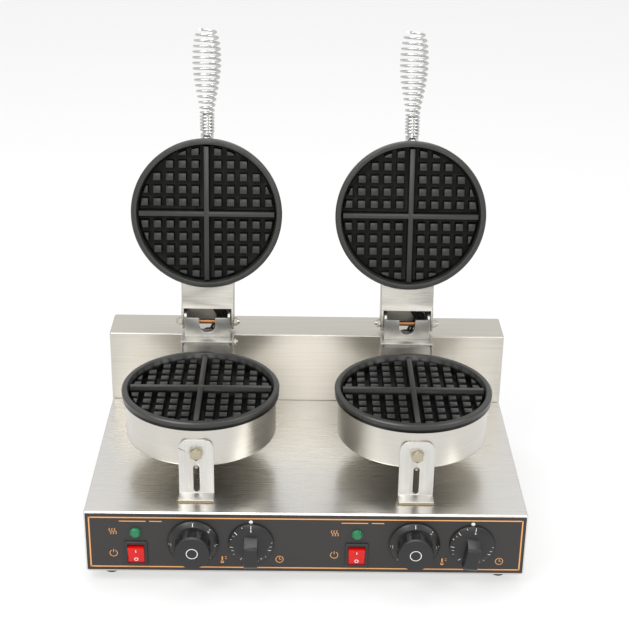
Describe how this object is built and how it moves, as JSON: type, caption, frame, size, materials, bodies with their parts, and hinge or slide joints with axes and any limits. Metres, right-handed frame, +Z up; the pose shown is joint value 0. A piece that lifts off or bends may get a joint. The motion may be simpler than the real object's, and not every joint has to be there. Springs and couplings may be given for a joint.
{
  "type": "double waffle maker",
  "caption": "Countertop double waffle maker: steel base with controls, round non-stick plates, and lids with spring-wire handles that fold back on hinges.",
  "frame": {"origin": "middle of the object's box, on the surface that it stands on", "axes": "+Z up, -Y to the front with the controls, +X to the right seen from the front"},
  "size_m": [0.5, 0.3734, 0.5614],
  "materials": {
    "stainless_steel": "brushed stainless sheet",
    "bright_steel": "bright plated steel",
    "black_label": "black printed sheet",
    "cast_nonstick": "black non-stick coat on cast aluminium",
    "heater_steel": "oxidised steel tube",
    "copper_rod": "copper-coloured rod",
    "black_rubber": "moulded rubber",
    "black_plastic": "moulded black plastic",
    "red_plastic": "translucent red plastic",
    "green_lens": "green faceted lens",
    "cream_plastic": "terminal and thermostat plastic",
    "sleeve": "black glass-fibre sleeve"
  },
  "bodies": {
    "base": {"base_shell": "stainless_steel", "label_plate": "black_label", "bottom_plate": "stainless_steel", "rear_upstand": "stainless_steel", "feet": "black_rubber", "base_screws": "bright_steel", "cable_gland": "black_plastic", "terminal_block": "cream_plastic", "strap_bolts": "bright_steel", "hinge_fasteners": "bright_steel", "lead_grommets": "black_rubber", "hinge_leads": "sleeve", "left_strap": "stainless_steel", "left_hinge_post": "stainless_steel", "left_drum_bracket": "stainless_steel", "left_hinge_saddle": "stainless_steel", "left_pivot_rod": "copper_rod", "left_lower_drum": "stainless_steel", "left_lower_plate": "cast_nonstick", "left_lower_heater": "heater_steel", "left_indicator_lamp": "green_lens", "left_switch_body": "black_plastic", "left_thermostat": "cream_plastic", "left_timer": "cream_plastic", "right_strap": "stainless_steel", "right_hinge_post": "stainless_steel", "right_drum_bracket": "stainless_steel", "right_hinge_saddle": "stainless_steel", "right_pivot_rod": "copper_rod", "right_lower_drum": "stainless_steel", "right_lower_plate": "cast_nonstick", "right_lower_heater": "heater_steel", "right_indicator_lamp": "green_lens", "right_switch_body": "black_plastic", "right_thermostat": "cream_plastic", "right_timer": "cream_plastic"},
    "left_lid": {"left_hinge_arm": "stainless_steel", "left_upper_drum": "stainless_steel", "left_upper_plate": "cast_nonstick", "left_upper_heater": "heater_steel", "left_handle_stem": "bright_steel", "left_handle_coil": "bright_steel", "left_lid_leads": "sleeve"},
    "left_rocker_body": {"left_rocker": "red_plastic"},
    "left_temperature_dial": {"left_temperature_knob": "black_plastic", "left_temperature_spindle": "bright_steel"},
    "left_timer_dial": {"left_timer_knob": "black_plastic", "left_timer_spindle": "bright_steel"},
    "right_lid": {"right_hinge_arm": "stainless_steel", "right_upper_drum": "stainless_steel", "right_upper_plate": "cast_nonstick", "right_upper_heater": "heater_steel", "right_handle_stem": "bright_steel", "right_handle_coil": "bright_steel", "right_lid_leads": "sleeve"},
    "right_rocker_body": {"right_rocker": "red_plastic"},
    "right_temperature_dial": {"right_temperature_knob": "black_plastic", "right_temperature_spindle": "bright_steel"},
    "right_timer_dial": {"right_timer_knob": "black_plastic", "right_timer_spindle": "bright_steel"}
  },
  "joints": [
    {"name": "left_lid_hinge", "type": "hinge", "parent": "base", "child": "left_lid", "pos_m": [-0.125, 0.109, 0.2043], "axis": [1, 0, 0], "range_deg": [0, 99.3]},
    {"name": "left_rocker_tilt", "type": "hinge", "parent": "base", "child": "left_rocker_body", "pos_m": [-0.192, -0.157, 0.0398], "axis": [-1, 0, 0], "range_deg": [0, 22]},
    {"name": "left_temperature_turn", "type": "hinge", "parent": "base", "child": "left_temperature_dial", "pos_m": [-0.127, -0.162, 0.0552], "axis": [0, 1, 0], "range_deg": [0, 270]},
    {"name": "left_timer_turn", "type": "hinge", "parent": "base", "child": "left_timer_dial", "pos_m": [-0.0618, -0.162, 0.0552], "axis": [0, 1, 0], "range_deg": [0, 300]},
    {"name": "right_lid_hinge", "type": "hinge", "parent": "base", "child": "right_lid", "pos_m": [0.125, 0.109, 0.2043], "axis": [1, 0, 0], "range_deg": [0, 99.3]},
    {"name": "right_rocker_tilt", "type": "hinge", "parent": "base", "child": "right_rocker_body", "pos_m": [0.058, -0.157, 0.0398], "axis": [-1, 0, 0], "range_deg": [0, 22]},
    {"name": "right_temperature_turn", "type": "hinge", "parent": "base", "child": "right_temperature_dial", "pos_m": [0.123, -0.162, 0.0552], "axis": [0, 1, 0], "range_deg": [0, 270]},
    {"name": "right_timer_turn", "type": "hinge", "parent": "base", "child": "right_timer_dial", "pos_m": [0.1882, -0.162, 0.0552], "axis": [0, 1, 0], "range_deg": [0, 300]}
  ]
}
